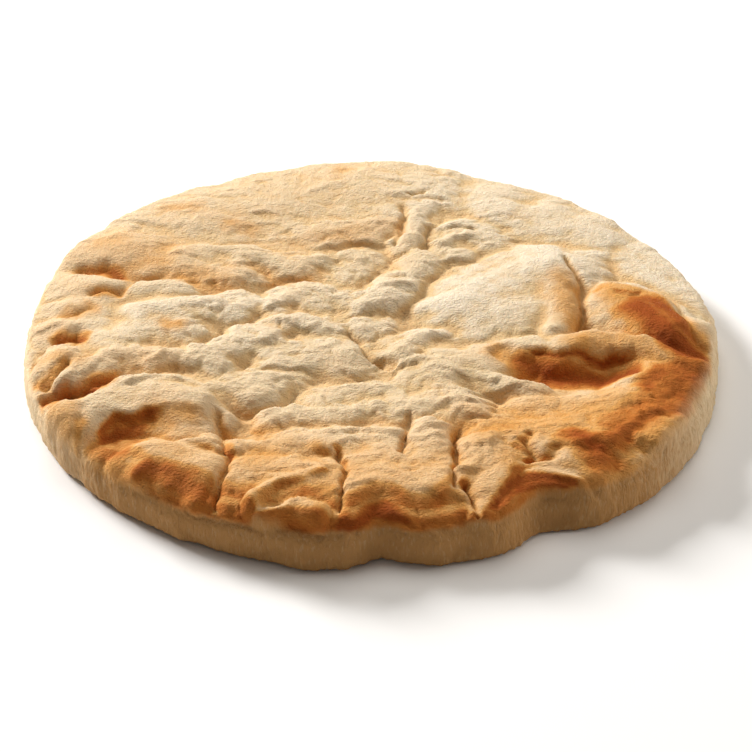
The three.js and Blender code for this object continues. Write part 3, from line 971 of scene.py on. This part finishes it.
def sole_material(grain, browning):
    """Underside: pale where flour kept it off the oven floor, browned in spots where it touched."""
    material, tree, surface = dough_material("oven_sole")
    place = new_node(tree, "ShaderNodeTexCoord").outputs["Object"]
    touch = new_node(tree, "ShaderNodeTexNoise", {"Vector": place, **TOUCH})
    dust = new_node(tree, "ShaderNodeTexNoise", {"Vector": place, **DUST})
    brown = browned(tree, browning, spread_out(tree, touch.outputs["Fac"], TOUCH_TOAST))
    dusted = spread_out(tree, dust.outputs["Fac"], DUST_COVER)
    colour = mixed(tree, dusted, brown["Colour"], FLOUR_COLOUR, "RGBA")
    cover(tree, surface, colour, grained(tree, grain, SOLE_GRAIN), SOLE_BUMP)
    return material


# The stage
FLOOR_HALF = 4.0  # metres
FLOOR_COLOUR = (0.9, 0.9, 0.9, 1)
FLOOR_ROUGHNESS = 0.9
ROOM_COLOUR = (1.0, 0.96, 0.90, 1)
ROOM_STRENGTH = 0.15
# Lamps: name, bearing and elevation in degrees, distance and width in metres, irradiance on the base, colour
SOFTBOXES = [
    ("key", 138, 28, 3.0, 0.9, 5.1, (1.0, 0.98, 0.96)),
    ("overhead", 90, 68, 2.5, 1.8, 1.35, (1.0, 0.95, 0.88)),
    ("right_fill", 8, 18, 2.5, 1.2, 1.2, (1.0, 0.93, 0.84)),
]


def floor_material():
    """A plain, matt floor."""
    material = bpy.data.materials.new("pale_floor")
    material.use_nodes = True
    shader = material.node_tree.nodes["Principled BSDF"]
    shader.inputs["Base Color"].default_value = FLOOR_COLOUR
    shader.inputs["Roughness"].default_value = FLOOR_ROUGHNESS
    return material


def add_softbox(name, bearing, elevation, distance, size, irradiance, colour):
    """Adds a square lamp that looks at the middle of the base."""
    bearing = math.radians(bearing)
    elevation = math.radians(elevation)
    lamp = bpy.data.lights.new(name, "AREA")
    lamp.energy = irradiance * math.pi * distance ** 2
    lamp.size = size
    lamp.color = colour
    box = bpy.data.objects.new(name, lamp)
    level = distance * math.cos(elevation)
    box.location = (level * math.cos(bearing), level * math.sin(bearing), distance * math.sin(elevation))
    box.rotation_euler = (-box.location).to_track_quat("-Z", "Y").to_euler()
    bpy.context.collection.objects.link(box)


def set_the_stage():
    """Sets up what isn't part of the base: the floor, the room, the lamps and the camera."""
    mesh = bpy.data.meshes.new("floor")
    corners = [(x * FLOOR_HALF, y * FLOOR_HALF, 0) for x, y in ((-1, -1), (1, -1), (1, 1), (-1, 1))]
    mesh.from_pydata(corners, [], [(0, 1, 2, 3)])
    floor = bpy.data.objects.new("floor", mesh)
    bpy.context.collection.objects.link(floor)
    floor.data.materials.append(floor_material())

    scene = bpy.context.scene
    scene.view_settings.view_transform = "Standard"
    world = bpy.data.worlds.new("soft_room")
    world.use_nodes = True
    background = world.node_tree.nodes["Background"]
    background.inputs["Color"].default_value = ROOM_COLOUR
    background.inputs["Strength"].default_value = ROOM_STRENGTH
    scene.world = world
    for softbox in SOFTBOXES:
        add_softbox(*softbox)

    camera_data = bpy.data.cameras.new("camera")
    camera_data.lens = CAMERA_LENS
    camera = bpy.data.objects.new("camera", camera_data)
    target = Vector(CAMERA_TARGET) * MM
    back = Vector((0, -math.cos(CAMERA_ELEVATION), math.sin(CAMERA_ELEVATION)))
    camera.location = target + back * CAMERA_DISTANCE * MM
    camera.rotation_euler = (target - camera.location).to_track_quat("-Z", "Y").to_euler()
    bpy.context.collection.objects.link(camera)
    scene.camera = camera


set_the_stage()
base = Crust().build("baked_base")
grain = grain_group()
browning = browning_group()
base.data.materials.append(crust_material(grain, browning))
base.data.materials.append(sole_material(grain, browning))
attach(base, "root")
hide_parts("pizza_base")
